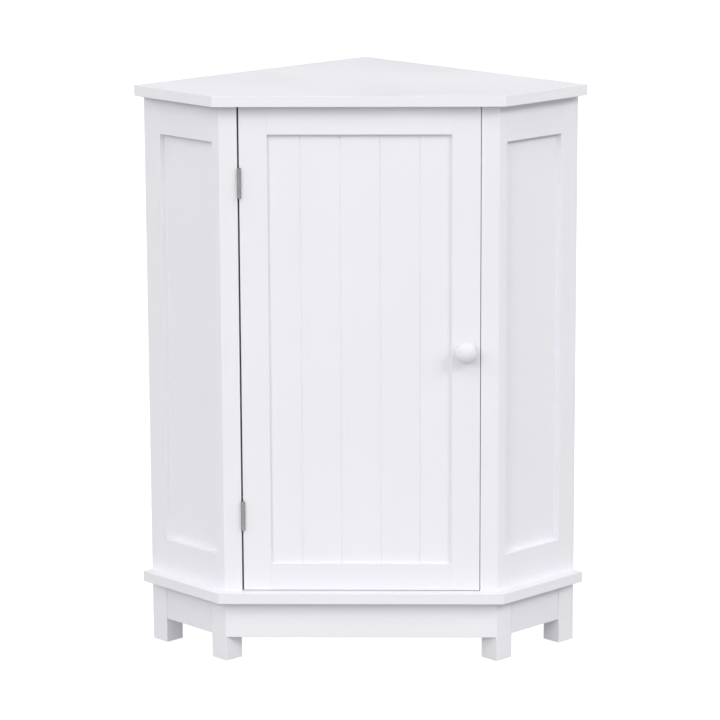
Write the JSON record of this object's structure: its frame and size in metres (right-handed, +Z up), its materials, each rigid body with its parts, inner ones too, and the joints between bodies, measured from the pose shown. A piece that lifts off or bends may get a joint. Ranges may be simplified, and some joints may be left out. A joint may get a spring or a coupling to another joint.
{
  "type": "corner cabinet",
  "caption": "Floor-standing corner cabinet for a bathroom: angled sides with inset panels, one hinged door with a grooved board panel, inner shelf, short square legs.",
  "frame": {"origin": "centre of the bounding box at floor level, door closed", "axes": "+Z up; the door faces -Y; the corner that goes into the room's corner points to +Y; +X is to the right seen from the front"},
  "size_m": [0.625, 0.436, 0.8],
  "materials": {
    "white_paint": "satin white paint over board",
    "inside_paint": "satin white paint over board",
    "back_board": "thin white-faced hardboard",
    "knob_paint": "semi-gloss white paint over turned wood",
    "nickel": "satin nickel plate",
    "plated_steel": "zinc plate",
    "screw_steel": "zinc plate",
    "white_plastic": "moulded plastic",
    "glide_plastic": "moulded plastic",
    "beech": "bare wood"
  },
  "bodies": {
    "cabinet": {"apron_front": "white_paint", "apron_side_left": "white_paint", "apron_side_right": "white_paint", "apron_wall_left": "white_paint", "apron_wall_right": "white_paint", "bottom_board": "white_paint", "bottom_dowels": "beech", "catch_body": "white_plastic", "catch_magnet": "plated_steel", "catch_screws": "screw_steel", "corner_post": "white_paint", "front_post_left": "white_paint", "front_post_right": "white_paint", "hinge_frame_leaf_lower": "nickel", "hinge_frame_leaf_upper": "nickel", "hinge_frame_screws": "screw_steel", "hinge_pin_lower": "nickel", "hinge_pin_upper": "nickel", "leg_back": "white_paint", "leg_front_left": "white_paint", "leg_front_right": "white_paint", "leg_glides": "glide_plastic", "leg_rear_left": "white_paint", "leg_rear_right": "white_paint", "leg_screws": "screw_steel", "shelf": "inside_paint", "shelf_pins": "nickel", "side_panel_left": "white_paint", "side_panel_right": "white_paint", "side_rail_bottom_left": "white_paint", "side_rail_bottom_right": "white_paint", "side_rail_top_left": "white_paint", "side_rail_top_right": "white_paint", "side_stile_left": "white_paint", "side_stile_right": "white_paint", "top_board": "white_paint", "top_dowels": "beech", "wall_panel_left": "back_board", "wall_panel_right": "back_board", "wall_panel_screws": "screw_steel"},
    "door": {"door_panel": "white_paint", "door_rail_bottom": "white_paint", "door_rail_top": "white_paint", "door_stile_hinge": "white_paint", "door_stile_lock": "white_paint", "knob": "knob_paint", "knob_screw": "screw_steel", "hinge_door_leaf_lower": "nickel", "hinge_door_leaf_upper": "nickel", "hinge_door_screws": "screw_steel", "strike_plate": "plated_steel", "strike_screw": "screw_steel"}
  },
  "joints": [
    {"name": "door_hinge", "type": "hinge", "parent": "cabinet", "child": "door", "pos_m": [-0.1635, -0.19617, 0.4456], "axis": [0, 0, -1], "range_deg": [0, 160]}
  ]
}
